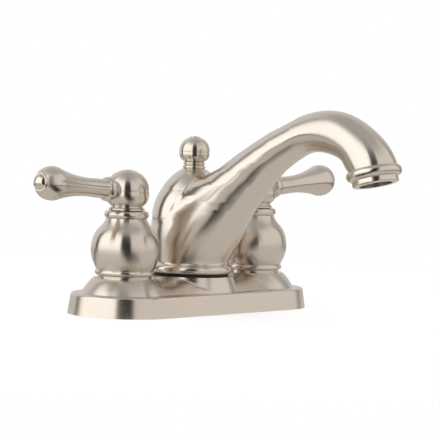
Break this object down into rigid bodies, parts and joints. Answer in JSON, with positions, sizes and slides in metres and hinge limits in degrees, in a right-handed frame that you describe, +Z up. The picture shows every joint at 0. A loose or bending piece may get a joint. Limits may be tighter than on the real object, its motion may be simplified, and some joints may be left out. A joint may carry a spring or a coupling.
{
  "type": "centerset bathroom faucet",
  "caption": "Deck-mounted bathroom faucet with lever handles on vase-shaped bells, an arched spout, a lift rod and a stepped oblong deck plate.",
  "frame": {"origin": "centre of the deck plate's underside, on the deck", "axes": "+Z up, -Y the way the spout points, +X towards the right-hand handle"},
  "size_m": [0.2332, 0.1671, 0.1983],
  "materials": {
    "satin_nickel": "satin brushed nickel plate on brass, brushed round each turned part",
    "plate_nickel": "satin brushed nickel plate, brushed along the plate",
    "polished_nickel": "polished nickel plate",
    "brass": "machined and cast yellow brass",
    "rubber": "black nitrile rubber",
    "black_plastic": "moulded black plastic",
    "grey_plastic": "moulded grey plastic",
    "valve_ceramic": "lapped white alumina",
    "steel_mesh": "fine woven stainless mesh",
    "steel_rod": "plain stainless steel"
  },
  "bodies": {
    "faucet_body": {"deck_plate": "plate_nickel", "deck_gasket": "rubber", "waterway_body": "brass", "left_deck_washer": "black_plastic", "left_mounting_nut": "brass", "right_deck_washer": "black_plastic", "right_mounting_nut": "brass", "left_bell": "satin_nickel", "right_bell": "satin_nickel", "left_seat_seal": "rubber", "left_fixed_disc": "valve_ceramic", "left_cartridge": "brass", "right_seat_seal": "rubber", "right_fixed_disc": "valve_ceramic", "right_cartridge": "brass", "spout": "satin_nickel", "spout_washer": "rubber", "rod_sleeve": "brass", "aerator_housing": "satin_nickel", "aerator_insert": "grey_plastic", "aerator_screen": "steel_mesh", "aerator_washer": "rubber"},
    "left_handle": {"left_hub": "satin_nickel", "left_lever": "satin_nickel", "left_lever_button": "polished_nickel", "left_index_cap": "satin_nickel", "left_handle_screw": "steel_rod", "left_stem": "brass"},
    "right_handle": {"right_hub": "satin_nickel", "right_lever": "satin_nickel", "right_lever_button": "polished_nickel", "right_index_cap": "satin_nickel", "right_handle_screw": "steel_rod", "right_stem": "brass"},
    "lift_rod_body": {"lift_rod": "steel_rod", "lift_rod_knob": "satin_nickel"}
  },
  "joints": [
    {"name": "left_handle_turn", "type": "hinge", "parent": "faucet_body", "child": "left_handle", "pos_m": [-0.0508, 0, 0.0645], "axis": [0, 0, 1], "range_deg": [0, 90]},
    {"name": "right_handle_turn", "type": "hinge", "parent": "faucet_body", "child": "right_handle", "pos_m": [0.0508, 0, 0.0645], "axis": [0, 0, 1], "range_deg": [-90, 0]},
    {"name": "lift_rod_slide", "type": "slide", "parent": "faucet_body", "child": "lift_rod_body", "axis": [0, 0, 1], "range_m": [0, 0.032]}
  ]
}
